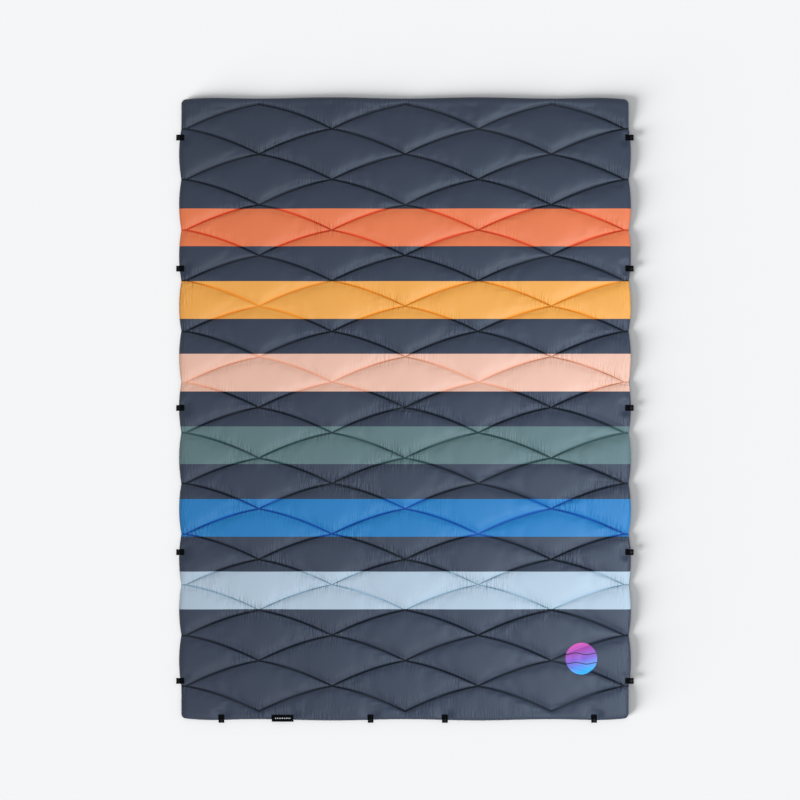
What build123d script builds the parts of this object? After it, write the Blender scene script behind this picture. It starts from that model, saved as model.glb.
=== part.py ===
from build123d import *
import os

# Quilted camp blanket with snap tabs, lying flat. Millimetres.
# X runs across the blanket, +Y towards the head end, +Z up.
# The origin is on the floor, under the middle of the blanket with its tabs.
# Each sewn-through piece that bends at the middle fold is made as a left and a right half.

# Quilted panel
WIDTH = 1370.0
LENGTH = 1890.0
THICKNESS = 20.0
CORNER_RADIUS = 12.0
SKIN = 1.0
SPLIT_GAP = 0.3

# Rim: a flat hem that the tabs lie on, then a slope up to the crown
SEAM_Z = 7.0
HEM_Z = 9.6
HEM_WIDTH = 20.0
CROWN_INSET = 44.0
BELLY_INSET = 10.0
BELLY_RISE = 4.5

# Quilting: two families of bowed diagonal lines that cross on the columns
COLUMN_PITCH = 221.5
COLUMNS_PER_HALF = 3
ROW_PITCH = 153.6
ROWS = 12
QUILT_SHIFT = 4.7
LINE_BOW = 9.0
NECK_DEPTH = 7.0
THREAD_WIDTH = 1.2
THREAD_HEIGHT = 0.4

# Wadding inside, and the perimeter seam's thread beside it
WADDING_SIDE_GAP = 1.2
WADDING_TOP_GAP = 0.3
SEAM_THREAD_GAP = 0.1
SEAM_THREAD_WIDTH = 0.8

# Webbing tabs, folded double, with a press snap near the fold
TAB_LENGTH = 24.5
TAB_WIDTH = 17.5
WEBBING = 0.7
WEBBING_GAP = 0.2
TAB_BASE_Z = 11.4
SIDE_OVERHANG = 8.0
FOOT_OVERHANG = 6.0
SIDE_TAB_Y = (825.0, 428.0, 6.0, -431.0, -821.0)
FOOT_TAB_X = (-556.0, -104.0, 121.0, 573.0)
BARTACK_LENGTH = 15.0
BARTACK_WIDTH = 2.4
BARTACK_CLEARANCE = 0.2

# Press snaps
SNAP_FROM_FOLD = 7.2
CAP_RADIUS = 5.4
CAP_HEIGHT = 1.5
POST_RADIUS = 1.4
POST_CLEARANCE = 0.1
SNAP_RADIUS = 4.6
SNAP_BASE = 0.6
SOCKET_RADIUS = 2.6
SOCKET_DEPTH = 1.9
STUD_RADIUS = 2.5
STUD_HEIGHT = 1.8
EDGE_ROUND = 0.4

# Woven label in the foot seam, and the round badge on the face
LABEL_X = -370.5
LABEL_WIDTH = 66.0
LABEL_DEPTH = 21.0
LABEL_OVERHANG = 3.0
BADGE_X = 534.0
BADGE_Y = -753.0
BADGE_RADIUS = 48.0
BADGE_HEIGHT = 0.8

# Places worked out from the sizes above
PANEL_Y = FOOT_OVERHANG / 2
HEAD_Y = PANEL_Y + LENGTH / 2
FOOT_Y = PANEL_Y - LENGTH / 2
NECK_X = WIDTH / 2 - NECK_DEPTH
QUILT_Y = PANEL_Y + QUILT_SHIFT
TAB_THICKNESS = 2 * WEBBING + WEBBING_GAP
SNAP_U = TAB_LENGTH - SNAP_FROM_FOLD


def even_row(k):
    """Y of a crossing on an even column, which is also a neck in the side edge."""
    return QUILT_Y + ((ROWS - 1) / 2 - k) * ROW_PITCH


def odd_row(k):
    """Y of a crossing on an odd column; the first and last are the pattern's end points."""
    return QUILT_Y + (ROWS / 2 - k) * ROW_PITCH


def half_outline(inset):
    """The right half's outline, moved in from the edge but not from the middle fold."""
    middle = SPLIT_GAP / 2
    side = NECK_X - inset
    head = HEAD_Y - inset
    foot = FOOT_Y + inset
    r = CORNER_RADIUS
    diagonal = r * (1 - 0.5**0.5)
    edges = [
        Line((middle, foot), (side - r, foot)),
        ThreePointArc((side - r, foot), (side - diagonal, foot + diagonal), (side, foot + r)),
        Line((side, foot + r), (side, even_row(ROWS - 1))),
    ]
    for k in range(ROWS - 1, 0, -1):
        low, high = even_row(k), even_row(k - 1)
        edges.append(ThreePointArc((side, low), (side + NECK_DEPTH, (low + high) / 2), (side, high)))
    edges += [
        Line((side, even_row(0)), (side, head - r)),
        ThreePointArc((side, head - r), (side - diagonal, head - diagonal), (side - r, head)),
        Line((side - r, head), (middle, head)),
        Line((middle, head), (middle, foot)),
    ]
    return Wire(edges)


def slab(inset, low, high):
    """A straight-sided slice of the right half between two heights."""
    return extrude(Pos(0, 0, low) * Face(half_outline(inset)), high - low)


def slope(low_inset, low, high_inset, high):
    """A slice of the right half whose outline moves in or out between two heights."""
    wires = [Pos(0, 0, low) * half_outline(low_inset), Pos(0, 0, high) * half_outline(high_inset)]
    return Solid.make_loft(wires, ruled=True)


def upper_body(inset, drop):
    """The right half above the seam: hem and crown, moved in and down from the true surface."""
    hem = slab(inset, SEAM_Z, HEM_Z - drop)
    crown = slope(HEM_WIDTH + inset, HEM_Z - drop, CROWN_INSET + inset, THICKNESS - drop)
    return hem + crown


def lower_body(inset, floor):
    """The right half below the seam: the belly turning up to the rim."""
    belly = slope(BELLY_INSET + inset, floor, inset, floor + BELLY_RISE)
    return belly + slab(inset, floor + BELLY_RISE, SEAM_Z)


def quilt_strips():
    """Flat strips along the right half's stitch lines, as one sketch."""
    strips = []
    for column in range(COLUMNS_PER_HALF):
        near, far = column * COLUMN_PITCH, (column + 1) * COLUMN_PITCH
        odd_x, even_x = (near, far) if column % 2 == 0 else (far, near)
        for k in range(ROWS):
            for odd_y in (odd_row(k), odd_row(k + 1)):
                middle = ((near + far) / 2, (even_row(k) + odd_y) / 2 + LINE_BOW)
                strips.append(ThreePointArc((odd_x, odd_y), middle, (even_x, even_row(k))))
    side_x = COLUMNS_PER_HALF * COLUMN_PITCH
    strips += [Line((side_x, even_row(k)), (WIDTH / 2, even_row(k))) for k in range(ROWS)]
    faces = [trace(strip, THREAD_WIDTH) for strip in strips]
    return faces[0].fuse(*faces[1:])


def folded_strip(length, width):
    """A strip folded double: its fold is at +X, its free ends at X = 0, lying on Z = 0."""
    outer = TAB_THICKNESS / 2
    inner = WEBBING_GAP / 2
    bend_x = length - outer
    profile = Rectangle(bend_x, TAB_THICKNESS, align=(Align.MIN, Align.CENTER))
    profile += Pos(bend_x, 0) * Circle(outer)
    slit = Rectangle(bend_x, WEBBING_GAP, align=(Align.MIN, Align.CENTER))
    slit += Pos(bend_x, 0) * Circle(inner)
    upright = Plane((0, width / 2, outer), x_dir=(1, 0, 0), z_dir=(0, -1, 0))
    return extrude(upright * (profile - slit), width)


def tab_webbing():
    """Webbing of one tab, with the hole for the snap's post."""
    hole = Pos(SNAP_U, 0, 0) * Cylinder(POST_RADIUS + POST_CLEARANCE, 4 * TAB_THICKNESS)
    return folded_strip(TAB_LENGTH, TAB_WIDTH) - hole


def upright_cylinder(radius, low, high):
    """A cylinder on the snap's axis between two heights above the tab's underside."""
    align = (Align.CENTER, Align.CENTER, Align.MIN)
    return Pos(SNAP_U, 0, low) * Cylinder(radius, high - low, align=align)


def snap_cap():
    """Round cap under the tab, with the post that goes up through the webbing."""
    disc = upright_cylinder(CAP_RADIUS, -CAP_HEIGHT, 0)
    rim = disc.faces().sort_by(Axis.Z)[0].edges()
    return fillet(rim, EDGE_ROUND) + upright_cylinder(POST_RADIUS, 0, TAB_THICKNESS + SNAP_BASE)


def snap_base(height):
    """Body of a socket or stud, seated on the tab and held by the post."""
    body = upright_cylinder(SNAP_RADIUS, TAB_THICKNESS, TAB_THICKNESS + height)
    body = fillet(body.faces().sort_by(Axis.Z)[-1].edges(), EDGE_ROUND)
    return body - upright_cylinder(POST_RADIUS, TAB_THICKNESS, TAB_THICKNESS + SNAP_BASE)


def snap_socket():
    """Female half of the press snap."""
    floor = TAB_THICKNESS + SNAP_BASE
    mouth = upright_cylinder(SOCKET_RADIUS, floor, floor + SOCKET_DEPTH)
    return snap_base(SNAP_BASE + SOCKET_DEPTH) - mouth


def snap_stud():
    """Male half of the press snap."""
    floor = TAB_THICKNESS + SNAP_BASE
    pin = upright_cylinder(STUD_RADIUS, floor, floor + STUD_HEIGHT)
    return snap_base(SNAP_BASE) + pin


def bartack():
    """Bar of thread under the tab's sewn end, joining it to the hem."""
    height = TAB_BASE_Z - HEM_Z - BARTACK_CLEARANCE
    bar = Box(BARTACK_WIDTH, BARTACK_LENGTH, height, align=(Align.CENTER, Align.CENTER, Align.MIN))
    return Pos(BARTACK_WIDTH / 2, 0, HEM_Z - TAB_BASE_Z) * bar


def tab_places():
    """Name, half, position and direction of each tab; the local +X points off the edge."""
    side_x = WIDTH / 2 + SIDE_OVERHANG - TAB_LENGTH
    foot_y = FOOT_Y - FOOT_OVERHANG + TAB_LENGTH
    places = []
    for number, y in enumerate(SIDE_TAB_Y, 1):
        places.append((f"left_tab_{number}", "left", Pos(-side_x, y, TAB_BASE_Z) * Rot(0, 0, 180)))
        places.append((f"right_tab_{number}", "right", Pos(side_x, y, TAB_BASE_Z)))
    for number, x in enumerate(FOOT_TAB_X, 1):
        half = "left" if x < 0 else "right"
        places.append((f"foot_tab_{number}", half, Pos(x, foot_y, TAB_BASE_Z) * Rot(0, 0, -90)))
    return places


def save(shape, name):
    """Write one named piece."""
    export_step(shape, f"parts/{name}.step")


def save_halves(shape, name):
    """Write a piece of the right half and its mirror image."""
    save(shape, f"{name}_right")
    save(mirror(shape, about=Plane.YZ), f"{name}_left")


def main():
    os.makedirs("parts", exist_ok=True)

    outer_top = upper_body(0, 0)
    strips = quilt_strips()

    needle_reach = upper_body(0, -THREAD_HEIGHT) - outer_top
    needle_thread = needle_reach & extrude(Pos(0, 0, HEM_Z) * strips, THICKNESS)

    flat_belly = slab(BELLY_INSET + THREAD_WIDTH, 0, THREAD_HEIGHT)
    bobbin_thread = flat_belly & extrude(strips, THREAD_HEIGHT)

    save_halves(outer_top - upper_body(SKIN, SKIN), "face_shell")
    back = lower_body(0, 0) - lower_body(SKIN, SKIN)
    save_halves(back - bobbin_thread, "back_shell")
    wadding_inset = SKIN + WADDING_SIDE_GAP
    wadding = upper_body(wadding_inset, SKIN + WADDING_TOP_GAP) + lower_body(wadding_inset, SKIN)
    save_halves(wadding, "insulation")
    save_halves(needle_thread, "needle_thread")
    save_halves(bobbin_thread, "bobbin_thread")

    seam_inset = SKIN + SEAM_THREAD_GAP
    seam_low = SEAM_Z - THREAD_HEIGHT / 2
    seam_high = SEAM_Z + THREAD_HEIGHT / 2
    seam_core = slab(seam_inset + SEAM_THREAD_WIDTH, seam_low, seam_high)
    save_halves(slab(seam_inset, seam_low, seam_high) - seam_core, "edge_seam_thread")

    bartacks = {"left": [], "right": []}
    for name, half, place in tab_places():
        sockets = half == "left"
        save(place * tab_webbing(), f"{name}_webbing")
        save(place * snap_cap(), f"{name}_cap")
        save(place * (snap_socket() if sockets else snap_stud()), f"{name}_{'socket' if sockets else 'stud'}")
        bartacks[half].append(place * bartack())
    for half, bars in bartacks.items():
        save(Compound(children=bars), f"tab_bartacks_{half}")

    label_y = FOOT_Y - LABEL_OVERHANG + LABEL_DEPTH
    label_place = Pos(LABEL_X, label_y, HEM_Z) * Rot(0, 0, -90)
    save(label_place * folded_strip(LABEL_DEPTH, LABEL_WIDTH), "woven_label")

    badge_place = Pos(BADGE_X, BADGE_Y, THICKNESS)
    badge = badge_place * Cylinder(BADGE_RADIUS, BADGE_HEIGHT, align=(Align.CENTER, Align.CENTER, Align.MIN))
    save(badge - needle_thread, "badge_patch")


main()
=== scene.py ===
import math
import bmesh
import bpy
import numpy as np
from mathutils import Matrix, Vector
from mathutils.bvhtree import BVHTree


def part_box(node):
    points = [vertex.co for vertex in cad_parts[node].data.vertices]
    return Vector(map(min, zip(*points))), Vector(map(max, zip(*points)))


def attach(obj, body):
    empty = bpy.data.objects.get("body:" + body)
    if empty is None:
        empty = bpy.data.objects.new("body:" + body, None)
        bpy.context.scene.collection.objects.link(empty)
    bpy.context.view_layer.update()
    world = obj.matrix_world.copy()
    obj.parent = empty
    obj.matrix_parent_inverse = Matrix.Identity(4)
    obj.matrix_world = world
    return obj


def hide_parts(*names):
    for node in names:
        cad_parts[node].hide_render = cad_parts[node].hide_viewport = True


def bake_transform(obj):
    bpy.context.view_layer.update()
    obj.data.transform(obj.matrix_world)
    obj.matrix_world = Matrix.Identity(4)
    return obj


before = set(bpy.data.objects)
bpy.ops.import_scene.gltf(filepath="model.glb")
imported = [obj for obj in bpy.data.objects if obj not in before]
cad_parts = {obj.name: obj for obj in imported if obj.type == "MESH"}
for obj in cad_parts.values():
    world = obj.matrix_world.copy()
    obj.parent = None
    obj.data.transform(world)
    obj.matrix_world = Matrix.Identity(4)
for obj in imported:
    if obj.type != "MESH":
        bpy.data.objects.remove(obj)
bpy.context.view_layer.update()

# Quilted camp blanket lying flat. Everything is in metres, in the CAD frame.
MM = 0.001

# Panel, from the CAD shells
SHELL_LOW, SHELL_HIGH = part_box("face_shell_right")
HALF_WIDTH = SHELL_HIGH[0]
HEAD_Y = SHELL_HIGH[1]
FOOT_Y = SHELL_LOW[1]
PANEL_Y = (HEAD_Y + FOOT_Y) / 2
CROWN_Z = SHELL_HIGH[2]
CORNER_RADIUS = 15 * MM
HEM_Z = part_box("woven_label")[0][2]

# Quilting: two families of bowed diagonal lines that cross on the columns.
# u counts columns from the middle and v counts half rows from the pattern's middle.
COLUMN_PITCH = 221.5 * MM
HALF_ROW = 76.8 * MM
QUILT_Y = PANEL_Y + 4.7 * MM
LINE_BOW = 9.0 * MM
SIDE_U = 3
ROWS = 12
LAST_ROW_V = ROWS - 1
NECK_DEPTH = 7.0 * MM
NECK_X = HALF_WIDTH - NECK_DEPTH
END_DIP = 4.0 * MM
CORNER_DROP = 6.0 * MM
LINE_STEP = 2 * HALF_ROW * COLUMN_PITCH / math.hypot(HALF_ROW, COLUMN_PITCH)

# Puffed section. BACK_SETTLE sets how soon the back reaches the floor away from a stitch line.
RIM_Z = 6.0 * MM
SEAM_LIFT = 0.5 * MM
PUFF_REACH = 11.0 * MM
PUFF_POWER = 0.8
GROOVE = 2.4 * MM
RIM_RADIUS = 24.0 * MM
CROWN_ROOM = 1.2 * MM
UNEVEN_HEIGHT = 0.9 * MM
LOWEST_DIP = 0.2 * MM
BACK_SEAM_DROP = 0.7 * MM
BACK_SETTLE = 1.35

# Where a tab or the label holds the face down
TAB_PRESS_Z = HEM_Z - 0.3 * MM
PRESS_REACH = 26 * MM
PRESS_MARGIN = 1 * MM
PRESS_POWER = 1.5

# Gathers: short folds in the fabric that stand along the stitch lines and the edges, and are
# most dense about DENSE_Y
GATHER_PITCH = 6.5 * MM
GATHER_REACH = 17.0 * MM
GATHER_HEIGHT = 2.5 * MM
GATHER_CLEAR = 1.2 * MM
CROSSING_REACH = 45 * MM
EDGE_GATHER_REACH = 24 * MM
EDGE_GATHER_CLEAR = 5 * MM
DENSE_Y = -0.2
DENSE_REACH = 0.45

# Cloth simulation of the face, and how its heights are eased into the loft
SIM_STEPS = 24
SIM_FRAMES = 12
SIM_START = 0.8
SIM_EASE = 0.020
SIM_PRESSURE = 12.0
SIM_BENDING = 0.1
SIM_SEAM = 0.1 * MM
SIM_EDGE = 3 * MM
SIM_BLEND = 30 * MM
SIM_LOWEST = 0.72
FULL_HEIGHT = 21.0 * MM
SOFT_CAP = 13.0 * MM

# Mesh steps per column (even numbers) and across each side margin, and how far the mesh lines of
# the face and back crowd towards the stitch lines
FACE_STEPS = 40
BACK_STEPS = 28
WADDING_STEPS = 20
MARGIN_STEPS = 7
CROWDING = 0.62

# Wadding: its outline, and its middle level and half thickness as shares of the room between the sheets
WADDING_INSET = 13 * MM
WADDING_X = NECK_X - 7 * MM
WADDING_LEVEL = 0.38
WADDING_HALF = 0.18
WADDING_CLEAR = 0.6 * MM
WADDING_LEAST = 0.05 * MM

# Middle fold: half the width that bends, and the mesh lines across it
FOLD_ZONE = 20 * MM
FOLD_CUTS = 17

# Stitching. Each stitch's half sizes are along, across and up.
STITCH_PITCH = 4.5 * MM
STITCH = (0.42 * STITCH_PITCH, 0.55 * MM, 0.4 * MM)
NEEDLE_LIFT = 0.2 * MM
BOBBIN_LIFT = -0.05 * MM
SIDE_RUN = 0.75
RUN_POINTS = 65
EDGE_STITCH_PITCH = 3.5 * MM
EDGE_STITCH = (0.42 * EDGE_STITCH_PITCH, 0.3 * MM, 0.25 * MM)
EDGE_SEAM_INSET = 8 * MM
SIDE_POINTS = 1201
END_POINTS = 801
TACK_STITCH = (1.6 * MM, 0.42 * MM, 0.3 * MM)
TACK_LENGTH = 13.5 * MM
TACK_STITCHES = 27
TACK_INSET = 2.6 * MM
TACK_LEAN = 0.28

# Folded ribbons: one layer, how finely the mesh is cut, and the woven ribs
WEBBING = 0.7 * MM
RIBBON_STEP = 0.8 * MM
RIBBON_CROSS_STEP = 1.6 * MM
RIBBON_TURN_POINTS = 9
TAB_RIBS = {"relief": 0.08 * MM, "rib_along": 2.2 * MM, "rib_across": 1.5 * MM}
LABEL_RIBS = {"relief": 0.03 * MM, "rib_along": 1.6 * MM, "rib_across": 1.0 * MM}

# Badge and the marks on the label
BADGE_RINGS = 28
BADGE_AROUND = 120
BADGE_LIFT = 0.4 * MM
BADGE_SINK = 0.2 * MM
MARKS = 9
MARK_PITCH = 5.4 * MM
MARK_WIDTH = 4.2 * MM
MARK_HEIGHT = 5.0 * MM
MARK_RISE = 0.25 * MM
MARK_SINK = 0.1 * MM

# Camera and studio
VIEW_WIDTH = 2.428
LENS = 100.0
SENSOR = 36.0
CAMERA_X = -15 * MM
CAMERA_Y = PANEL_Y + 27 * MM
CAMERA_END = 50
FLOOR_SIZE = 60.0
FLOOR_DROP = 0.5 * MM
WORLD_LIGHT = 0.5
WORLD_SEEN = 0.93
FLOOR_SUN = 12.2
LOW_KEY = 0.86
HIGH_SIDE = 72


# ---------------------------------------------------------------- noise

HASH_X = 374761393
HASH_Y = 668265263
HASH_SEED = 144269
HASH_MIX = 1274126177


def hashed(ix, iy, seed):
    """A fixed number from -1 to 1 for each whole-number pair."""
    n = (ix.astype(np.int64) * HASH_X + iy.astype(np.int64) * HASH_Y + seed * HASH_SEED) & 0xFFFFFFFF
    n = ((n ^ (n >> 13)) * HASH_MIX) & 0xFFFFFFFF
    return ((n ^ (n >> 16)) & 0xFFFF) / 32767.5 - 1


def noise(x, y, seed):
    """Smooth noise from -1 to 1 with features about one unit wide."""
    ix, iy = np.floor(x), np.floor(y)
    fx, fy = x - ix, y - iy
    fx = fx * fx * (3 - 2 * fx)
    fy = fy * fy * (3 - 2 * fy)
    low = hashed(ix, iy, seed) * (1 - fx) + hashed(ix + 1, iy, seed) * fx
    high = hashed(ix, iy + 1, seed) * (1 - fx) + hashed(ix + 1, iy + 1, seed) * fx
    return low * (1 - fy) + high * fy


def smooth(t):
    """Eases from 0 to 1."""
    t = np.clip(t, 0, 1)
    return t * t * (3 - 2 * t)


# ---------------------------------------------------------------- quilt pattern

def bow(u):
    """How far a stitch line is bowed towards the head at column position u."""
    t = u - np.floor(u)
    return 4 * LINE_BOW * t * (1 - t)


def side_edge(v):
    """Distance of the side edge from the middle: bulged between necks."""
    t = np.mod((v + LAST_ROW_V) / 2, 1)
    bulge = np.where(np.abs(v) <= LAST_ROW_V, 4 * t * (1 - t), 0)
    return NECK_X + NECK_DEPTH * bulge


def end_dip(u):
    """The end edges are drawn in where the pattern ends in a point, and near the corners."""
    corner = np.clip(2 * (np.abs(u) - SIDE_U + 0.5), 0, 1)
    return END_DIP * (0.5 + 0.5 * np.cos(math.pi * u)) + CORNER_DROP * corner**2


def end_rows(steps):
    """Whole-number row ranges whose ends are nearest the head and foot edges."""
    head = round((HEAD_Y - QUILT_Y) / HALF_ROW * steps / 2) * 2
    foot = round((FOOT_Y - QUILT_Y) / HALF_ROW * steps / 2) * 2
    return foot, head


END_V = [row / FACE_STEPS for row in end_rows(FACE_STEPS)]


def flat_place(u, v, foot_v, head_v):
    """Plan position for quilt coordinates; |u| from 3 to 4 crosses the side margin."""
    inner = np.clip(u, -SIDE_U, SIDE_U)
    across = np.abs(u - inner)
    side_x = SIDE_U * COLUMN_PITCH
    x = COLUMN_PITCH * inner + np.sign(u) * across * (side_edge(v) - side_x)
    y = QUILT_Y + v * HALF_ROW + bow(inner)
    ends = ((1, head_v, HEAD_Y - end_dip(inner)), (-1, foot_v, FOOT_Y + end_dip(inner)))
    for sign, end_v, edge in ends:
        t = np.clip((sign * v - LAST_ROW_V) / (sign * end_v - LAST_ROW_V), 0, 1) ** 4
        y = y + t * (edge - (QUILT_Y + end_v * HALF_ROW + bow(inner)))
    return x, y


def edge_gaps(u, v, x, y):
    """Distances to the side, head and foot edges."""
    inner = np.clip(u, -SIDE_U, SIDE_U)
    side = side_edge(v) - np.abs(x)
    head = HEAD_Y - end_dip(inner) - y
    foot = y - FOOT_Y - end_dip(inner)
    return np.maximum(side, 0), np.maximum(head, 0), np.maximum(foot, 0)


def rounded_corners(x, y):
    """Pulls the four square corners in to arcs."""
    half_length = (HEAD_Y - FOOT_Y) / 2 - CORNER_DROP
    a = np.abs(x) - (NECK_X - CORNER_RADIUS)
    b = np.abs(y - PANEL_Y) - (half_length - CORNER_RADIUS)
    inside = (a > 0) & (b > 0)
    scale = np.where(inside, np.maximum(a, b) / np.maximum(np.hypot(a, b), 1e-9), 1)
    x = np.where(inside, np.sign(x) * (NECK_X - CORNER_RADIUS + a * scale), x)
    y = np.where(inside, PANEL_Y + np.sign(y - PANEL_Y) * (half_length - CORNER_RADIUS + b * scale), y)
    return x, y


def line_gaps(u, v):
    """Distance to the nearest stitch line of each family, in line steps from 0 to 0.5."""
    u = np.clip(u, -SIDE_U, SIDE_U)
    s = (v + u) / 2
    w = (v - u) / 2
    gap_s = np.abs(s - np.round(s))
    gap_w = np.abs(w - np.round(w))
    column = np.clip(2 * np.floor(u / 2) + 1, -SIDE_U, SIDE_U)
    for sign in (1, -1):
        past_s = sign * (s - (sign * LAST_ROW_V + column) / 2)
        past_w = sign * (w - (sign * LAST_ROW_V - column) / 2)
        beyond = (past_s > 0) & (past_w > 0)
        gap_s = np.where(beyond, np.minimum(past_s, 0.5), gap_s)
        gap_w = np.where(beyond, np.minimum(past_w, 0.5), gap_w)
    return gap_s, gap_w


# ---------------------------------------------------------------- puffed shape

def puff(gap):
    """Rise from 0 at a stitch line to nearly 1 in the middle of a cell."""
    d = LINE_STEP * gap * (1 - gap)
    return 1 - np.exp(-((d / PUFF_REACH) ** PUFF_POWER))


FULL_PUFF = puff(np.array(0.5)) ** 2


def rim(d):
    """Quarter-round from 0 at an edge to 1."""
    return np.sqrt(1 - (1 - np.clip(d / RIM_RADIUS, 0, 1)) ** 2)


def press_spots():
    """Footprint of each tab and the label on the panel: low corner and high corner."""
    spots = []
    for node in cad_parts:
        if node.endswith("_webbing") or node == "woven_label":
            spots.append(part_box(node))
    return spots


PRESS_SPOTS = press_spots()


def pressed(x, y, z):
    """Pulls the face down where a tab or the label is sewn on."""
    for low, high in PRESS_SPOTS:
        dx = np.maximum(np.maximum(low[0] - x, x - high[0]), 0)
        dy = np.maximum(np.maximum(low[1] - y, y - high[1]), 0)
        away = np.hypot(dx, dy)
        pull = smooth(1 - away / PRESS_REACH) ** PRESS_POWER
        pull = np.where(away < PRESS_MARGIN, 1, pull)
        z = z + pull * (np.minimum(z, TAB_PRESS_Z) - z)
    return z


def gather_mask(gap_s, gap_w, x, y, rim_gap):
    """Where gathers stand: beside stitch lines, most near crossings, and along the edges."""
    d_s, d_w = gap_s * LINE_STEP, gap_w * LINE_STEP
    near = np.minimum(d_s, d_w)
    crossing = np.exp(-np.hypot(d_s, d_w) / CROSSING_REACH)
    beside = np.exp(-near / GATHER_REACH) * (1 - np.exp(-near / GATHER_CLEAR))
    patch = np.clip(0.62 + 0.9 * noise(x / 0.13, y / 0.09, 11), 0.08, 1.4)
    middle = 0.45 + 0.55 * np.exp(-(((y - DENSE_Y) / DENSE_REACH) ** 2))
    edge = np.exp(-rim_gap / EDGE_GATHER_REACH) * smooth(rim_gap / EDGE_GATHER_CLEAR)
    edge_patch = np.clip(0.4 + 0.9 * noise(x / 0.09, y / 0.07, 12), 0.05, 1.2)
    return beside * (0.08 + 1.6 * crossing) * patch * middle + 0.6 * edge * edge_patch


def gather_height(x, y):
    """Height of the gathers, from -1 to 1: long across the stitch lines and narrow along them."""
    lean = x + 9 * MM * noise(x / 0.07, y / 0.05, 21) + 3.0 * MM * noise(x / 0.03, y / 0.025, 22)
    ridge = noise(lean / GATHER_PITCH, y / (42 * MM), 5)
    wide = noise(lean / (2.6 * GATHER_PITCH), y / (60 * MM), 6)
    return 0.75 * ridge + 0.45 * wide


def surface(u, v, foot_v, head_v, blown=None):
    """Places and heights of the face, the back and the stitch lines, with the gathers and edge distances.

    blown is a function that gives the simulated face's height, and without it the face is a formula.
    """
    x, y = flat_place(u, v, foot_v, head_v)
    edges = edge_gaps(u, v, x, y)
    rim_gap = np.minimum(np.minimum(edges[0], edges[1]), edges[2])
    gap_s, gap_w = line_gaps(u, v)
    near = np.minimum(gap_s, gap_w) * LINE_STEP
    rise = puff(gap_s) * puff(gap_w) / FULL_PUFF
    edge = rim(edges[0]) * rim(edges[1]) * rim(edges[2])
    x, y = rounded_corners(x, y)
    mask = gather_mask(gap_s, gap_w, x, y, rim_gap)

    loft = CROWN_Z - RIM_Z - SEAM_LIFT - CROWN_ROOM
    line_z = RIM_Z + edge * SEAM_LIFT
    top = line_z + edge * loft * rise
    top += UNEVEN_HEIGHT * edge * rise * noise(x / 0.11, y / 0.07, 3)
    if blown is not None:
        inside = smooth((rim_gap - SIM_EDGE) / SIM_BLEND)
        raised = np.maximum(blown(x, y, top), line_z + SIM_LOWEST * (top - line_z))
        top = top + inside * (raised - top)
        top = line_z + (top - line_z) * (1 - np.exp(-near / GROOVE))
    top += GATHER_HEIGHT * mask * gather_height(x, y) * edge
    top = pressed(x, y, np.maximum(top, line_z - LOWEST_DIP))

    settled = 1 - (1 - np.minimum(BACK_SETTLE * rise * edge, 1)) ** 2
    bottom = (RIM_Z - BACK_SEAM_DROP * edge) * (1 - settled)
    return {"x": x, "y": y, "top": top, "bottom": bottom, "line_z": line_z, "gather": mask,
            "near": near, "rim_gap": rim_gap}


# ---------------------------------------------------------------- meshes

def build_mesh(name, verts, faces, smooth_shade=True):
    """A new object in the scene from vertices and faces."""
    mesh = bpy.data.meshes.new(name)
    mesh.from_pydata(np.asarray(verts).tolist(), [], faces)
    mesh.polygons.foreach_set("use_smooth", [smooth_shade] * len(mesh.polygons))
    mesh.update()
    obj = bpy.data.objects.new(name, mesh)
    bpy.context.scene.collection.objects.link(obj)
    return obj


def add_values(obj, name, values):
    """Stores one number for each vertex."""
    obj.data.attributes.new(name, "FLOAT", "POINT").data.foreach_set("value", values.astype(np.float32))


def add_flat_position(obj, x, y):
    """Stores where each vertex lies on the open blanket, so that patterns stay put when it folds."""
    flat = np.stack([x, y, np.zeros_like(x)], axis=1).astype(np.float32)
    layer = obj.data.attributes.new("flat_position", "FLOAT_VECTOR", "POINT")
    layer.data.foreach_set("vector", flat.ravel())


def lattice(steps, crowding):
    """Quilt coordinates and faces of a sheet whose mesh lines follow the stitch lines and crowd near them.

    It also gives the v where the sheet ends at the foot and at the head.
    """
    foot, head = end_rows(steps)
    width = SIDE_U * steps
    columns = 2 * width + 1
    rows = head - foot + 1
    m, n = np.meshgrid(np.arange(-width, width + 1), np.arange(foot, head + 1), indexing="ij")
    used = (m + n) % 2 == 0
    number = np.full((columns, rows), -1)
    number[used] = np.arange(used.sum())
    u, v = m[used] / steps, n[used] / steps
    s, w = (v + u) / 2, (v - u) / 2
    pull = crowding * (1 - smooth(np.abs(v) - LAST_ROW_V)) / (2 * math.pi)
    s, w = s - pull * np.sin(2 * math.pi * s), w - pull * np.sin(2 * math.pi * w)
    side = {sign: number[0 if sign < 0 else columns - 1, ::2] for sign in (-1, 1)}
    side_v = (s + w)[side[1]]
    u, v = list(s - w), list(s + w)

    faces = []
    cell_m, cell_n = np.nonzero(~used)
    for i, j in zip(cell_m.tolist(), cell_n.tolist()):
        around = ((i + 1, j), (i, j + 1), (i - 1, j), (i, j - 1))
        corners = [int(number[a, b]) for a, b in around if 0 <= a < columns and 0 <= b < rows]
        if len(corners) > 2:
            faces.append(corners)

    for sign in (-1, 1):
        border = side[sign].tolist()
        previous = border
        for step in range(1, MARGIN_STEPS + 1):
            across = math.sin(math.pi / 2 * step / MARGIN_STEPS)
            start = len(u)
            u.extend([sign * (SIDE_U + across)] * len(border))
            v.extend(side_v.tolist())
            current = list(range(start, start + len(border)))
            for a in range(len(border) - 1):
                quad = [previous[a], current[a], current[a + 1], previous[a + 1]]
                faces.append(quad if sign > 0 else quad[::-1])
            previous = current
    return np.array(u), np.array(v), faces, foot / steps, head / steps


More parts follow.
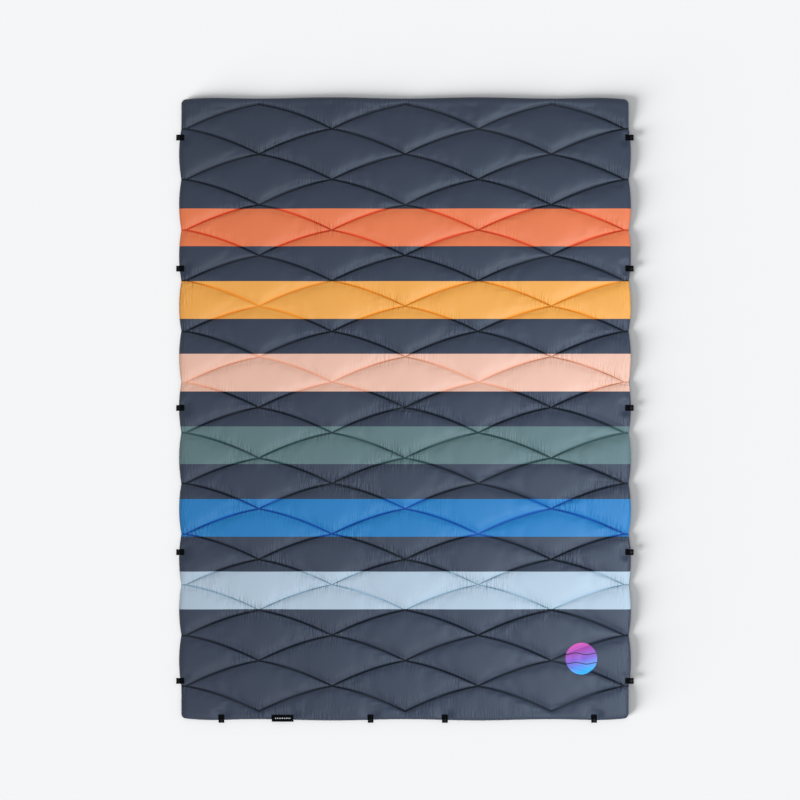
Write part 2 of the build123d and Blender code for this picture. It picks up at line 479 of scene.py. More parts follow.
def ray_height(tree, x, y, default):
    """Height of a surface above each place."""
    down = Vector((0, 0, -1))
    heights = np.array(default, dtype=float)
    for i, (a, b) in enumerate(zip(x.tolist(), y.tolist())):
        spot = tree.ray_cast(Vector((a, b, 1)), down)[0]
        if spot is not None:
            heights[i] = spot.z
    return heights


def inflated_face():
    """Cloth simulation of the face, sewn down at its lines and edge and pushed up by pressure."""
    u, v, faces, foot_v, head_v = lattice(SIM_STEPS, 0)
    shape = surface(u, v, foot_v, head_v)
    sewn = (shape["near"] < SIM_SEAM) | (shape["rim_gap"] < SIM_SEAM)
    share = np.where(sewn, 0, SIM_START)
    z = shape["line_z"] + share * (shape["top"] - shape["line_z"])
    obj = build_mesh("inflated_face", np.stack([shape["x"], shape["y"], z], axis=1), faces)
    obj.vertex_groups.new(name="sewn").add(np.nonzero(sewn)[0].tolist(), 1.0, "REPLACE")

    cloth = obj.modifiers.new("cloth", "CLOTH")
    cloth.point_cache.frame_start = 1
    cloth.point_cache.frame_end = SIM_FRAMES
    settings = cloth.settings
    settings.vertex_group_mass = "sewn"
    settings.use_pressure = True
    settings.uniform_pressure_force = SIM_PRESSURE
    settings.shrink_min = -SIM_EASE
    settings.effector_weights.gravity = 0
    settings.bending_stiffness = SIM_BENDING
    obj.modifiers.new("rounding", "SUBSURF").levels = 1
    for frame_number in range(1, SIM_FRAMES + 1):
        bpy.context.scene.frame_set(frame_number)
    tree = BVHTree.FromObject(obj, bpy.context.evaluated_depsgraph_get())
    bpy.data.objects.remove(obj)
    bpy.context.scene.frame_set(1)
    return tree


def blown_heights():
    """A function that gives the simulated face's height at each place, with its peaks eased down."""
    tree = inflated_face()

    def heights(x, y, default):
        z = ray_height(tree, x, y, default)
        room = FULL_HEIGHT - SOFT_CAP
        over = np.maximum(z - SOFT_CAP, 0)
        return np.minimum(z, SOFT_CAP) + room * (1 - np.exp(-over / room))

    return heights


def sheet_object(name, steps, side, blown=None):
    """The face ("top") or the back ("bottom") of the blanket as one sheet."""
    u, v, faces, foot_v, head_v = lattice(steps, CROWDING)
    shape = surface(u, v, foot_v, head_v, blown)
    verts = np.stack([shape["x"], shape["y"], shape[side]], axis=1)
    if side == "bottom":
        faces = [f[::-1] for f in faces]
    obj = build_mesh(name, verts, faces)
    add_flat_position(obj, shape["x"], shape["y"])
    add_values(obj, "gather", shape["gather"])
    add_values(obj, "line_gap_mm", shape["near"] / MM)
    return obj


def cut_at_fold(obj):
    """Adds mesh lines across the middle, so that the piece bends round smoothly."""
    mesh = bmesh.new()
    mesh.from_mesh(obj.data)
    for x in np.linspace(-FOLD_ZONE, FOLD_ZONE, FOLD_CUTS).tolist():
        verts = [v for v in mesh.verts if abs(v.co.x) < 2 * FOLD_ZONE]
        edges = {e for v in verts for e in v.link_edges}
        faces = {f for v in verts for f in v.link_faces}
        nearby = [*verts, *edges, *faces]
        bmesh.ops.bisect_plane(mesh, geom=nearby, plane_co=(x, 0, 0), plane_no=(1, 0, 0))
    mesh.to_mesh(obj.data)
    mesh.free()


def wadding_object(name):
    """The closed layer of wadding between the two sheets."""
    u, v, faces, foot_v, head_v = lattice(WADDING_STEPS, 0)
    shape = surface(u, v, foot_v, head_v)
    count = len(u)
    x = np.clip(shape["x"], -WADDING_X, WADDING_X)
    y = np.clip(shape["y"], FOOT_Y + WADDING_INSET, HEAD_Y - WADDING_INSET)
    fill = shape["top"] - shape["bottom"]
    middle = shape["bottom"] + WADDING_LEVEL * fill
    half = np.maximum(WADDING_HALF * fill - WADDING_CLEAR, WADDING_LEAST)
    top = np.stack([x, y, middle + half], axis=1)
    bottom = np.stack([x, y, middle - half], axis=1)
    links = {(a, b) for f in faces for a, b in zip(f, f[1:] + f[:1])}
    walls = [[b, a, a + count, b + count] for a, b in sorted(links) if (b, a) not in links]
    under = [[i + count for i in f[::-1]] for f in faces]
    return build_mesh(name, np.vstack([top, bottom]), faces + under + walls)


def spindles(name, centre, way, half_size):
    """Many short stitches in one object: each is a spindle at a centre, lying along a way."""
    up = np.array([0, 0, 1.0])
    across = np.cross(up, way)
    across /= np.linalg.norm(across, axis=1, keepdims=True)
    corners = (way * half_size[0], across * half_size[1], up * half_size[2])
    verts = np.stack([centre + s * c for c in corners for s in (1, -1)], axis=1)
    pattern = ((0, 2, 4), (2, 1, 4), (1, 3, 4), (3, 0, 4), (2, 0, 5), (1, 2, 5), (3, 1, 5), (0, 3, 5))
    base = np.arange(len(centre))[:, None, None] * 6
    faces = (base + np.array(pattern)[None]).reshape(-1, 3).tolist()
    verts = verts.reshape(-1, 3)
    obj = build_mesh(name, verts, faces)
    add_flat_position(obj, verts[:, 0], verts[:, 1])
    return obj


def spaced_along(points, pitch):
    """Evenly spaced centres along a run of points, with the direction at each."""
    along = np.concatenate([[0], np.cumsum(np.linalg.norm(np.diff(points, axis=0), axis=1))])
    count = max(int(along[-1] / pitch), 1)
    middles = (np.arange(count) + 0.5) * along[-1] / count

    def place(distance):
        return np.stack([np.interp(distance, along, points[:, i]) for i in range(3)], axis=1)

    step = 0.5 * MM
    way = place(middles + step) - place(middles - step)
    return place(middles), way / np.linalg.norm(way, axis=1, keepdims=True)


def stitch_runs():
    """Quilt coordinates of both ends of each span of stitching."""
    runs = []
    for column in range(-SIDE_U, SIDE_U):
        odd_u, even_u = (column, column + 1) if column % 2 else (column + 1, column)
        for k in range(ROWS):
            crossing = LAST_ROW_V - 2 * k
            for turn in (1, -1):
                runs.append(((odd_u, crossing), (even_u, crossing + turn)))
    for sign in (-1, 1):
        for k in range(ROWS):
            row = LAST_ROW_V - 2 * k
            runs.append(((sign * SIDE_U, row), (sign * (SIDE_U + SIDE_RUN), row)))
    return runs


def quilt_stitches(name, side, lift):
    """The stitches of every quilting line, in the groove of the face or the back."""
    centres, ways = [], []
    for (u0, v0), (u1, v1) in stitch_runs():
        t = np.linspace(0, 1, RUN_POINTS)
        shape = surface(u0 + (u1 - u0) * t, v0 + (v1 - v0) * t, *END_V)
        height = shape["line_z"] if side == "top" else shape["bottom"]
        height = pressed(shape["x"], shape["y"], height)
        points = np.stack([shape["x"], shape["y"], height + lift], axis=1)
        centre, way = spaced_along(points, STITCH_PITCH)
        centres.append(centre)
        ways.append(way)
    return spindles(name, np.vstack(centres), np.vstack(ways), STITCH)


def edge_stitches(name):
    """The seam that joins the two sheets, hidden inside the rim."""
    v = np.linspace(-LAST_ROW_V - 1, LAST_ROW_V + 1, SIDE_POINTS)
    u = np.linspace(-SIDE_U, SIDE_U, END_POINTS)
    side_y = QUILT_Y + v * HALF_ROW
    end_x = COLUMN_PITCH * u
    lines = [(sign * (side_edge(v) - EDGE_SEAM_INSET), side_y) for sign in (-1, 1)]
    lines.append((end_x, HEAD_Y - end_dip(u) - EDGE_SEAM_INSET))
    lines.append((end_x, FOOT_Y + end_dip(u) + EDGE_SEAM_INSET))
    centres, ways = [], []
    for x, y in lines:
        points = np.stack([x, y, np.full_like(x, RIM_Z)], axis=1)
        centre, way = spaced_along(points, EDGE_STITCH_PITCH)
        centres.append(centre)
        ways.append(way)
    return spindles(name, np.vstack(centres), np.vstack(ways), EDGE_STITCH)


def doubled_path(straight, bend):
    """A run out, round a half circle and back: its points and its outward directions, along and up."""
    flat = np.arange(0, straight, RIBBON_STEP)
    count = len(flat)
    turn = np.linspace(-math.pi / 2, math.pi / 2, RIBBON_TURN_POINTS)
    along = np.concatenate([flat, straight + bend * np.cos(turn), flat[::-1]])
    height = np.concatenate([np.full(count, -bend), bend * np.sin(turn), np.full(count, bend)])
    out_along = np.concatenate([np.zeros(count), np.cos(turn), np.zeros(count)])
    out_height = np.concatenate([np.full(count, -1.0), np.sin(turn), np.full(count, 1.0)])
    return along, height, out_along, out_height


def box_along(low, high, way):
    """Middle of a box, the direction across way, and the box's length along way and width across it."""
    low, high, way = np.array(low), np.array(high), np.array(way, dtype=float)
    side = np.array([-way[1], way[0], 0.0])
    middle = (low + high) / 2
    return middle, side, abs(np.dot(high - low, way)), abs(np.dot(high - low, side))


def folded_ribbon(name, low, high, way, relief, rib_along, rib_across):
    """A woven ribbon folded double inside a box, with its fold at the end that way points to."""
    way = np.array(way, dtype=float)
    middle, side, length, width = box_along(low, high, way)
    start = middle - way * length / 2
    bend = (high[2] - low[2] - WEBBING) / 2
    straight = length - bend - WEBBING / 2
    along, height, out_along, out_height = doubled_path(straight, bend)
    walked = np.concatenate([[0], np.cumsum(np.hypot(np.diff(along), np.diff(height)))])

    t = np.sin(np.linspace(-math.pi / 2, math.pi / 2, 2 * round(width / RIBBON_CROSS_STEP) + 1))
    thick = WEBBING / 2 * (1 - np.abs(t) ** 10) ** 0.5
    ring_t = np.concatenate([t, t[-2:0:-1]])
    ring_h = np.concatenate([thick - relief, -thick[-2:0:-1]])
    outer = np.concatenate([np.ones(len(t)), np.zeros(len(t) - 2)])
    weave = np.sin(2 * math.pi * walked[:, None] / rib_along) * np.sin(math.pi * ring_t * width / rib_across)
    offset = ring_h[None, :] + relief * weave * outer * (1 - np.abs(ring_t) ** 8)
    verts = (start + way * (along[:, None] + out_along[:, None] * offset)[..., None]
             + side * (ring_t * width / 2)[None, :, None])
    verts[..., 2] = middle[2] + height[:, None] + out_height[:, None] * offset

    stations, around = offset.shape
    faces = []
    for i in range(stations - 1):
        for j in range(around):
            k = (j + 1) % around
            quad = [i * around + j, i * around + k, (i + 1) * around + k, (i + 1) * around + j]
            faces.append(quad)
    faces.append(list(range(around))[::-1])
    faces.append([(stations - 1) * around + j for j in range(around)])
    return build_mesh(name, verts.reshape(-1, 3), faces)


def tack_stitches(name, low, high, way):
    """Dense zigzag of thread that sews down a tab's inner end."""
    way = np.array(way, dtype=float)
    middle, side, length, _ = box_along(low, high, way)
    spread = np.linspace(-TACK_LENGTH / 2, TACK_LENGTH / 2, TACK_STITCHES)
    centre = middle - way * (length / 2 - TACK_INSET) + side * spread[:, None]
    centre[:, 2] = high[2]
    lean = np.where(np.arange(TACK_STITCHES) % 2 == 0, TACK_LEAN, -TACK_LEAN)
    direction = way + side * lean[:, None]
    direction /= np.linalg.norm(direction, axis=1, keepdims=True)
    return spindles(name, centre, direction, TACK_STITCH)


def badge_object(name, tree):
    """A thin round badge that follows the quilted face under it, with its rim sunk in."""
    low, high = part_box("badge_patch")
    middle = (np.array(low) + np.array(high)) / 2
    radius = (high[0] - low[0]) / 2
    around = BADGE_AROUND
    angle = np.arange(around) * 2 * math.pi / around
    share = np.concatenate([np.linspace(0, 1, BADGE_RINGS), [1.0]])[1:]
    x = np.concatenate([[middle[0]], (middle[0] + radius * share[:, None] * np.cos(angle)).ravel()])
    y = np.concatenate([[middle[1]], (middle[1] + radius * share[:, None] * np.sin(angle)).ravel()])
    z = ray_height(tree, x, y, np.full(len(x), middle[2])) + BADGE_LIFT
    z[-around:] -= BADGE_LIFT + BADGE_SINK
    faces = [[0, 1 + j, 1 + (j + 1) % around] for j in range(around)]
    for i in range(BADGE_RINGS - 1):
        a, b = 1 + i * around, 1 + (i + 1) * around
        faces += [[a + j, b + j, b + (j + 1) % around, a + (j + 1) % around] for j in range(around)]
    obj = build_mesh(name, np.stack([x, y, z], axis=1), faces)
    add_flat_position(obj, (x - middle[0]) / radius, (y - middle[1]) / radius)
    return obj


def label_marks(name, low, high):
    """A row of small raised diamonds woven into the label."""
    middle = (np.array(low) + np.array(high)) / 2
    centres = middle[0] + (np.arange(MARKS) - (MARKS - 1) / 2) * MARK_PITCH
    verts, faces = [], []
    for x in centres.tolist():
        n = len(verts)
        for dx, dy in ((1, 0), (0, 1), (-1, 0), (0, -1)):
            verts.append((x + dx * MARK_WIDTH / 2, middle[1] + dy * MARK_HEIGHT / 2, high[2] - MARK_SINK))
        verts.append((x, middle[1], high[2] + MARK_RISE))
        faces += [[n + i, n + (i + 1) % 4, n + 4] for i in range(4)]
        faces.append([n + 3, n + 2, n + 1, n])
    return build_mesh(name, verts, faces, False)


# ---------------------------------------------------------------- materials

STRIPE_HEIGHT = 114 * MM
STRIPE_PITCH = 219.9 * MM

# Linear colours. The stripes run from the head to the foot.
BASE = (0.027, 0.036, 0.060)
STRIPES = (
    (0.79, 0.176, 0.06),
    (0.85, 0.355, 0.06),
    (0.80, 0.445, 0.325),
    (0.096, 0.154, 0.154),
    (0.006, 0.162, 0.40),
    (0.405, 0.47, 0.53),
)

# Painted shade: the fabric's colours darkened where it turns down into the groove of a stitch line
CREASE_SHADE_BASE = (0.0003, 0.0035, 0.012)
CREASE_SHADE_STRIPES = (
    (0.75, 0.07, 0.015),
    (0.87, 0.29, 0.02),
    (0.84, 0.39, 0.25),
    (0.03, 0.07, 0.07),
    (0.001, 0.08, 0.35),
    (0.35, 0.46, 0.54),
)

BACK_NAVY = (0.030, 0.040, 0.058)
BOBBIN_NAVY = (0.014, 0.019, 0.028)
WADDING_WHITE = (0.78, 0.78, 0.76)
MARK_WHITE = (0.75, 0.75, 0.73)
WEBBING_BLACK = (0.0022, 0.0022, 0.0024)
LABEL_BLACK = (0.0018, 0.0018, 0.0020)
TACK_BLACK = (0.005, 0.005, 0.0055)
SNAP_BLACK = (0.004, 0.004, 0.0044)
BADGE_BLUE = (0.045, 0.40, 0.83)
BADGE_VIOLET = (0.21, 0.10, 0.50)
BADGE_MAGENTA = (0.56, 0.07, 0.33)
FLOOR_WHITE = (0.865, 0.87, 0.875)
BACKDROP_WHITE = (0.96, 0.98, 1.0)

# Beside a stitch line the painted crease shade is full up to the inner limit and gone at the outer limit,
# in millimetres, and both limits waver by half of the wobble
CREASE_SHADE_OUTER = 4.3
CREASE_SHADE_INNER = 1.8
CREASE_SHADE_WOBBLE = 1.4
FOLD_BUMP = 6.2 * MM


class Nodes:
    """Short calls for building a material's node tree."""

    def __init__(self, name):
        self.material = bpy.data.materials.new(name)
        self.material.use_nodes = True
        self.tree = self.material.node_tree
        self.shader = self.tree.nodes["Principled BSDF"]

    def add(self, kind, values=None, **settings):
        node = self.tree.nodes.new(kind)
        for key, value in settings.items():
            setattr(node, key, value)
        for key, value in (values or {}).items():
            self.feed(node.inputs[key], value)
        return node

    def feed(self, socket, value):
        if isinstance(value, bpy.types.NodeSocket):
            self.tree.links.new(value, socket)
        else:
            socket.default_value = value

    def math(self, operation, a, b=0.0, clamp=False):
        node = self.add("ShaderNodeMath", operation=operation, use_clamp=clamp)
        self.feed(node.inputs[0], a)
        self.feed(node.inputs[1], b)
        return node.outputs[0]

    def mix_colour(self, factor, a, b, blend="MIX"):
        node = self.add("ShaderNodeMix", data_type="RGBA", blend_type=blend)
        self.feed(node.inputs["Factor"], factor)
        self.feed(node.inputs[6], a)
        self.feed(node.inputs[7], b)
        return node.outputs[2]

    def attribute(self, name, output="Fac"):
        return self.add("ShaderNodeAttribute", attribute_name=name).outputs[output]

    def noise(self, place, scale, detail, output="Fac"):
        values = {"Vector": place, "Scale": scale, "Detail": detail}
        return self.add("ShaderNodeTexNoise", values).outputs[output]

    def vector_math(self, operation, a, b):
        return self.add("ShaderNodeVectorMath", {0: a, 1: b}, operation=operation).outputs[0]

    def weave(self, place, scale):
        """Height of a plain weave: threads crossing along X and Y."""
        warp = self.add("ShaderNodeTexWave", {"Vector": place, "Scale": scale}, bands_direction="X")
        weft = self.add("ShaderNodeTexWave", {"Vector": place, "Scale": scale}, bands_direction="Y")
        return self.math("MULTIPLY", warp.outputs["Fac"], weft.outputs["Fac"])

    def bump(self, height, strength, distance, below=None):
        values = {"Height": height, "Strength": strength, "Distance": distance}
        if below is not None:
            values["Normal"] = below
        return self.add("ShaderNodeBump", values).outputs[0]

    def finish(self, roughness, specular, sheen=0.0, **linked):
        """Sets the shader, with any named socket fed by a node, and gives the material."""
        for key, value in linked.items():
            self.feed(self.shader.inputs[key.replace("_", " ")], value)
        self.shader.inputs["Roughness"].default_value = roughness
        self.shader.inputs["Specular IOR Level"].default_value = specular
        self.shader.inputs["Sheen Weight"].default_value = sheen
        self.shader.inputs["Sheen Roughness"].default_value = 0.4
        return self.material


def colour(rgb, strength=1.0):
    return (*(c * strength for c in rgb), 1.0)


def striped(nodes, position_y, base, stripes):
    """Colour of the printed fabric at a place along the blanket."""
    count = len(stripes)
    start = PANEL_Y - count * STRIPE_PITCH / 2
    place = nodes.math("DIVIDE", nodes.math("SUBTRACT", position_y, start), STRIPE_PITCH)
    number = nodes.math("FLOOR", place)
    middle = nodes.math("ABSOLUTE", nodes.math("SUBTRACT", nodes.math("SUBTRACT", place, number), 0.5))
    shown = nodes.math("LESS_THAN", middle, STRIPE_HEIGHT / STRIPE_PITCH / 2)
    shown = nodes.math("MULTIPLY", shown, nodes.math("GREATER_THAN", place, 0.0))
    shown = nodes.math("MULTIPLY", shown, nodes.math("LESS_THAN", place, float(count)))
    ramp = nodes.add("ShaderNodeValToRGB")
    ramp.color_ramp.interpolation = "CONSTANT"
    stops = ramp.color_ramp.elements
    stops[0].color = colour(stripes[-1])
    stops.remove(stops[1])
    for i, stripe in enumerate(reversed(stripes[:-1]), 1):
        stops.new(i / count).color = colour(stripe)
    nodes.feed(ramp.inputs[0], nodes.math("DIVIDE", nodes.math("ADD", number, 0.5), float(count)))
    return nodes.mix_colour(shown, colour(base), ramp.outputs[0])


def flat_position(nodes):
    """Place on the open blanket, and its Y."""
    flat = nodes.attribute("flat_position", "Vector")
    return flat, nodes.add("ShaderNodeSeparateXYZ", {"Vector": flat}).outputs["Y"]


def face_fabric():
    """Thin striped fabric with painted shade in the creases beside the stitching, and puckered where it
    gathers.
    """
    nodes = Nodes("face_fabric")
    flat, flat_y = flat_position(nodes)
    gap = nodes.attribute("line_gap_mm")
    gather = nodes.attribute("gather")

    wobble = nodes.math("SUBTRACT", nodes.noise(flat, 420.0, 1.0), 0.5)
    gap = nodes.math("ADD", gap, nodes.math("MULTIPLY", wobble, CREASE_SHADE_WOBBLE))
    limits = {"Value": gap, "From Min": CREASE_SHADE_OUTER, "From Max": CREASE_SHADE_INNER}
    crease_shade = nodes.add("ShaderNodeMapRange", limits, interpolation_type="SMOOTHSTEP").outputs[0]
    fabric = striped(nodes, flat_y, BASE, STRIPES)
    # Painted shade: the stripes' darker crease colours are mixed in beside each stitch line
    shade = nodes.mix_colour(crease_shade, fabric, striped(nodes, flat_y, CREASE_SHADE_BASE, CREASE_SHADE_STRIPES))

    mottle = nodes.noise(flat, 7.0, 4.0)
    tone = nodes.add("ShaderNodeMapRange", {"Value": mottle, "To Min": 0.94, "To Max": 1.06}).outputs[0]
    grey = nodes.add("ShaderNodeCombineColor", {"Red": tone, "Green": tone, "Blue": tone}).outputs[0]
    shade = nodes.mix_colour(1.0, shade, grey, "MULTIPLY")

    drift = nodes.vector_math("MULTIPLY", nodes.noise(flat, 22.0, 1.0, "Color"), (0.012, 0.0, 0.0))
    drifted = nodes.vector_math("ADD", flat, drift)
    stretched = nodes.add("ShaderNodeMapping", {"Vector": drifted, "Scale": (165.0, 27.0, 1.0)}).outputs[0]
    streaks = nodes.noise(stretched, 1.0, 1.0)
    folds = nodes.math("MULTIPLY", streaks, nodes.math("MULTIPLY", gather, 1.6, clamp=True))
    thread = nodes.bump(nodes.weave(flat, 330.0), strength=0.08, distance=0.0002)
    normal = nodes.bump(folds, strength=1.0, distance=FOLD_BUMP, below=thread)
    return nodes.finish(roughness=0.54, specular=0.42, sheen=0.08, Base_Color=shade, Normal=normal)


def woven(name, rgb, roughness, specular, scale, contrast=0.25):
    """A plain woven fabric or webbing in one colour."""
    nodes = Nodes(name)
    place = nodes.add("ShaderNodeTexCoord").outputs["Object"]
    weave = nodes.weave(place, scale)
    patch = nodes.noise(place, 60.0, 3.0)
    blend = nodes.math("MULTIPLY", nodes.math("ADD", weave, patch), 0.5)
    shade = nodes.mix_colour(blend, colour(rgb, 1 - contrast), colour(rgb, 1 + contrast))
    normal = nodes.bump(weave, strength=0.2, distance=0.0003)
    return nodes.finish(roughness, specular, Base_Color=shade, Normal=normal)


def thread_material():
    """Needle thread in the stripes' colours, darkened at each place with the painted crease shade."""
    nodes = Nodes("quilting_thread")
    flat, flat_y = flat_position(nodes)
    twist = nodes.noise(flat, 1500.0, 1.0)
    shade = striped(nodes, flat_y, CREASE_SHADE_BASE, CREASE_SHADE_STRIPES)
    normal = nodes.bump(twist, strength=0.4, distance=0.0002)
    return nodes.finish(roughness=0.75, specular=0.2, Base_Color=shade, Normal=normal)


def moulded_plastic(name, rgb):
    """Plastic with a fine moulded grain."""
    nodes = Nodes(name)
    place = nodes.add("ShaderNodeTexCoord").outputs["Object"]
    grain = nodes.noise(place, 900.0, 2.0)
    shade = nodes.mix_colour(grain, colour(rgb, 0.85), colour(rgb, 1.2))
    normal = nodes.bump(grain, strength=0.15, distance=0.0002)
    return nodes.finish(roughness=0.5, specular=0.15, Base_Color=shade, Normal=normal)


def badge_film():
    """Smooth film in a blend of magenta, violet and blue, with two fine bands.

    Its flat position runs from -1 to 1 across the badge.
    """
    nodes = Nodes("badge_film")
    band_level, band_half, wave_height, wave_rate = 0.30, 0.03, 0.05, 5.0
    flat = nodes.attribute("flat_position", "Vector")
    split = nodes.add("ShaderNodeSeparateXYZ", {"Vector": flat})
    x, y = split.outputs["X"], split.outputs["Y"]
    slant = nodes.math("SUBTRACT", nodes.math("MULTIPLY", y, 0.85), nodes.math("MULTIPLY", x, 0.25))
    place = nodes.math("ADD", nodes.math("MULTIPLY", slant, 0.5), 0.5)
    ramp = nodes.add("ShaderNodeValToRGB")
    stops = ramp.color_ramp.elements
    stops[0].position = 0.12
    stops[0].color = colour(BADGE_BLUE)
    stops[1].position = 0.92
    stops[1].color = colour(BADGE_MAGENTA)
    stops.new(0.48).color = colour(BADGE_VIOLET)
    nodes.feed(ramp.inputs[0], place)
    wave = nodes.math("SINE", nodes.math("MULTIPLY", x, wave_rate))
    level = nodes.math("ADD", y, nodes.math("MULTIPLY", wave, wave_height))
    upper = nodes.math("ABSOLUTE", nodes.math("SUBTRACT", level, band_level))
    lower = nodes.math("ABSOLUTE", nodes.math("ADD", level, band_level))
    band = nodes.math("LESS_THAN", nodes.math("MINIMUM", upper, lower), band_half)
    shade = nodes.mix_colour(band, ramp.outputs[0], colour(BASE))
    normal = nodes.bump(nodes.noise(flat, 60.0, 2.0), strength=0.1, distance=0.0002)
    return nodes.finish(roughness=0.45, specular=0.3, Base_Color=shade, Normal=normal)


def give(obj, material):
    obj.data.materials.clear()
    obj.data.materials.append(material)


# ---------------------------------------------------------------- the blanket's pieces

def cross_fold(obj):
    """Bakes the piece's placement into its mesh.
    """
    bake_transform(obj)


def folding_piece(obj, material, node):
    """Finishes a piece that crosses the fold and stands for both halves of a CAD node."""
    give(obj, material)
    cross_fold(obj)
    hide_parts(f"{node}_left", f"{node}_right")


def riding_piece(obj, material, body):
    """Finishes a piece that moves with one body."""
    give(obj, material)
    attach(obj, body)


def add_face():
    """The face sheet, with a search tree of its surface for the badge."""
    blown = blown_heights()
    face = sheet_object("face_sheet", FACE_STEPS, "top", blown)
    cut_at_fold(face)
    mesh = face.data
    tree = BVHTree.FromPolygons([v.co for v in mesh.vertices], [p.vertices for p in mesh.polygons])
    folding_piece(face, face_fabric(), "face_shell")
    return face, tree


def add_back():
    back = sheet_object("back_sheet", BACK_STEPS, "bottom")
    cut_at_fold(back)
    fabric = woven("back_fabric", BACK_NAVY, roughness=0.6, specular=0.3, scale=330.0)
    folding_piece(back, fabric, "back_shell")
    return back


def add_wadding():
    wadding = wadding_object("wadding_layer")
    cut_at_fold(wadding)
    fibre = woven("wadding", WADDING_WHITE, roughness=0.95, specular=0.1, scale=90.0, contrast=0.08)
    folding_piece(wadding, fibre, "insulation")
    return wadding


def add_stitching():
    """The quilting on both sides and the seam round the edge."""
    needle = quilt_stitches("needle_stitches", "top", NEEDLE_LIFT)
    folding_piece(needle, thread_material(), "needle_thread")
    dark_thread = woven("bobbin_thread", BOBBIN_NAVY, roughness=0.75, specular=0.2, scale=600.0)
    bobbin = quilt_stitches("bobbin_stitches", "bottom", BOBBIN_LIFT)
    folding_piece(bobbin, dark_thread, "bobbin_thread")
    folding_piece(edge_stitches("edge_stitches"), dark_thread, "edge_seam_thread")
    return needle, bobbin


def tab_way(tab):
    """The direction in which a tab points away from the panel."""
    if tab.startswith("foot"):
        return (0, -1, 0)
    return (-1 if tab.startswith("left") else 1, 0, 0)


def add_tab(node, webbing_material, tack_material):
    """One tab's folded webbing and the stitches that hold its inner end."""
    tab = node.removesuffix("_webbing")
    low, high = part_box(node)
    ribbon = folded_ribbon(f"{tab}_ribbon", low, high, tab_way(tab), **TAB_RIBS)
    riding_piece(ribbon, webbing_material, tab)
    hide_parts(node)
    tack = tack_stitches(f"{tab}_tack", low, high, tab_way(tab))
    riding_piece(tack, tack_material, tab)


def add_tabs():
    """Every tab, with materials for the CAD bar tacks and snaps, which stay."""
    webbing_material = woven("tab_webbing", WEBBING_BLACK, roughness=0.9, specular=0.05, scale=420.0)
    tack_material = woven("tab_thread", TACK_BLACK, roughness=0.85, specular=0.1, scale=900.0)
    snap_material = moulded_plastic("snap_plastic", SNAP_BLACK)
    for node, obj in list(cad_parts.items()):
        if node.endswith("_webbing"):
            add_tab(node, webbing_material, tack_material)
        elif node.startswith("tab_bartacks"):
            give(obj, tack_material)
        elif node.endswith(("_cap", "_socket", "_stud")):
            give(obj, snap_material)


def add_label():
    """The folded label in the foot seam and its row of diamonds."""
    low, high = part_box("woven_label")
    label = folded_ribbon("folded_label", low, high, (0, -1, 0), **LABEL_RIBS)
    weave = woven("label_weave", LABEL_BLACK, roughness=0.85, specular=0.06, scale=700.0)
    riding_piece(label, weave, "left_half")
    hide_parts("woven_label")
    marks = label_marks("label_diamonds", low, high)
    mark_weave = woven("label_marks", MARK_WHITE, roughness=0.8, specular=0.1, scale=700.0)
    riding_piece(marks, mark_weave, "left_half")


def add_badge(face_tree):
    badge = badge_object("round_badge", face_tree)
    riding_piece(badge, badge_film(), "right_half")
    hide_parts("badge_patch")


# ---------------------------------------------------------------- studio

def receivers(name, objects):
    """A collection of the only objects that a lamp lights."""
    group = bpy.data.collections.new(name)
    for obj in objects:
        group.objects.link(obj)
    return group


def aim(obj, place, target):
    obj.location = place
    obj.rotation_mode = "QUATERNION"
    obj.rotation_quaternion = (Vector(target) - Vector(place)).to_track_quat("-Z", "Y")


def lamp(name, kind, place, target, power, tint, lit, **settings):
    """A lamp that lights only the objects in the collection lit."""
    data = bpy.data.lights.new(name, kind)
    data.energy = power
    data.color = tint
    for key, value in settings.items():
        setattr(data, key, value)
    obj = bpy.data.objects.new(name, data)
    bpy.context.scene.collection.objects.link(obj)
    aim(obj, place, target)
    obj.light_linking.receiver_collection = lit


def add_floor():
    size = FLOOR_SIZE
    corners = [(-size, -size, 0), (size, -size, 0), (size, size, 0), (-size, size, 0)]
    floor = build_mesh("floor", corners, [(0, 1, 2, 3)], False)
    floor.location.z = -FLOOR_DROP
    give(floor, Nodes("floor").finish(roughness=0.95, specular=0.0, Base_Color=colour(FLOOR_WHITE)))
    return floor


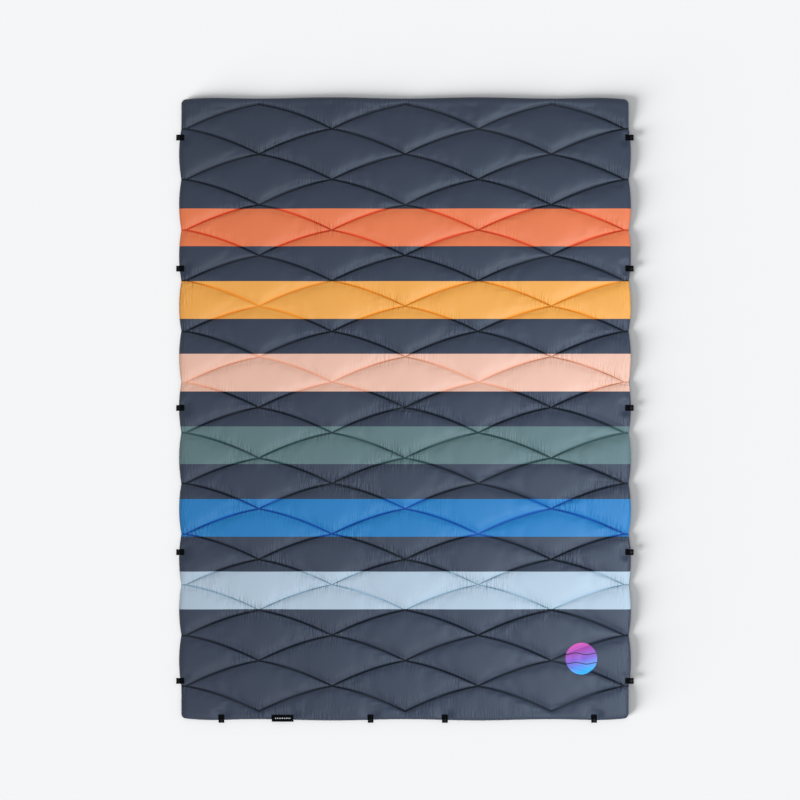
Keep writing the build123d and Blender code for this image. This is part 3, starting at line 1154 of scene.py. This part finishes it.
def add_world():
    """A pale backdrop that looks brighter to the camera than the light that it gives."""
    world = bpy.data.worlds.new("studio")
    bpy.context.scene.world = world
    world.use_nodes = True
    tree = world.node_tree
    backdrop = tree.nodes["Background"]
    backdrop.inputs["Color"].default_value = colour(BACKDROP_WHITE)
    seen = tree.nodes.new("ShaderNodeLightPath").outputs["Is Camera Ray"]
    level = tree.nodes.new("ShaderNodeMapRange")
    level.inputs["To Min"].default_value = WORLD_LIGHT
    level.inputs["To Max"].default_value = WORLD_SEEN
    tree.links.new(seen, level.inputs["Value"])
    tree.links.new(level.outputs[0], backdrop.inputs["Strength"])


def add_lamps(floor):
    """A low sun for the floor alone, and a soft key and a side lamp for the blanket alone."""
    pieces = [obj for obj in bpy.context.scene.objects if obj.type == "MESH" and obj is not floor]
    on_floor = receivers("floor_light", [floor])
    on_blanket = receivers("blanket_light", pieces)
    lamp("floor_sun", "SUN", place=(-3.0, -1.7, 0.45), target=(0, 0, 0), power=FLOOR_SUN,
         tint=(1, 0.99, 0.98), lit=on_floor, angle=0.62)
    lamp("low_key", "SUN", place=(0.7, -1.9, 2.8), target=(0, 0, 0), power=LOW_KEY,
         tint=(0.90, 0.95, 1.0), lit=on_blanket, angle=0.35)
    lamp("high_side", "AREA", place=(1.7, -0.9, 2.6), target=(0.6, -0.3, 0), power=HIGH_SIDE,
         tint=(0.68, 0.85, 1.0), lit=on_blanket, shape="DISK", size=1.5)


def add_camera():
    """A camera that looks straight down, at the height where its view is VIEW_WIDTH wide on the floor."""
    data = bpy.data.cameras.new("camera")
    data.lens = LENS
    data.sensor_width = SENSOR
    data.clip_end = CAMERA_END
    obj = bpy.data.objects.new("camera", data)
    bpy.context.scene.collection.objects.link(obj)
    obj.location = (CAMERA_X, CAMERA_Y, VIEW_WIDTH * LENS / SENSOR)
    bpy.context.scene.camera = obj


# ---------------------------------------------------------------- build

def build_blanket():
    """Every piece of the blanket."""
    face, face_tree = add_face()
    back = add_back()
    wadding = add_wadding()
    needle, bobbin = add_stitching()
    add_tabs()
    add_label()
    add_badge(face_tree)


def build_studio():
    """Floor, backdrop, lamps and camera."""
    floor = add_floor()
    add_world()
    add_lamps(floor)
    add_camera()
    bpy.context.scene.view_settings.view_transform = "Standard"


build_blanket()
build_studio()
